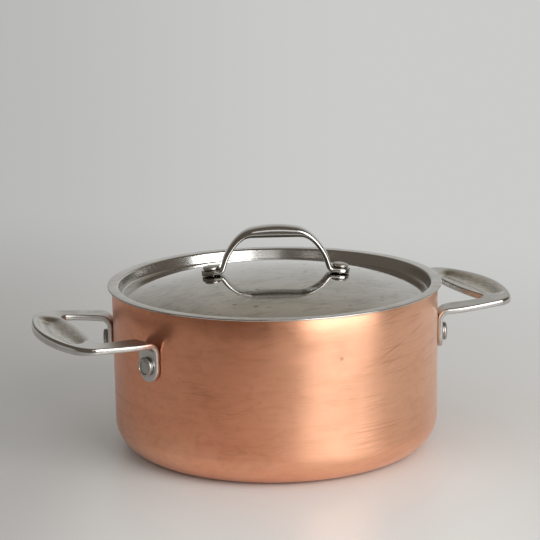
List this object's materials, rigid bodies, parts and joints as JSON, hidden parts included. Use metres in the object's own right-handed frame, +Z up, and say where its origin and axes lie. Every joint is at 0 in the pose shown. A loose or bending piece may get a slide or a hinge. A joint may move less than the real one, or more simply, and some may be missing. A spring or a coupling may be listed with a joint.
{
  "type": "lidded cooking pot",
  "caption": "Round copper cooking pot with riveted steel loop handles and a sunk steel lid that lifts off by its arch handle.",
  "frame": {"origin": "centre of the flat base, on the surface that the pot stands on", "axes": "+Z up through the lid; the side handles lie on +X and -X; -Y is the pictured front"},
  "size_m": [0.383, 0.26, 0.1736],
  "materials": {
    "copper": "satin copper, brushed",
    "lining_steel": "satin stainless steel",
    "lid_steel": "polished stainless steel, lightly smudged",
    "handle_steel": "polished stainless steel",
    "rivet_steel": "satin stainless steel"
  },
  "bodies": {
    "pot": {"copper_shell": "copper", "steel_lining": "lining_steel", "left_handle": "handle_steel", "right_handle": "handle_steel", "left_rivet_front": "rivet_steel", "left_rivet_back": "rivet_steel", "right_rivet_front": "rivet_steel", "right_rivet_back": "rivet_steel"},
    "lid": {"lid_shell": "lid_steel", "lid_handle": "handle_steel", "lid_rivet_left": "rivet_steel", "lid_rivet_right": "rivet_steel"}
  },
  "joints": [
    {"name": "lid_lift", "type": "slide", "parent": "pot", "child": "lid", "axis": [0, 0, 1], "range_m": [0, 0.13]}
  ]
}
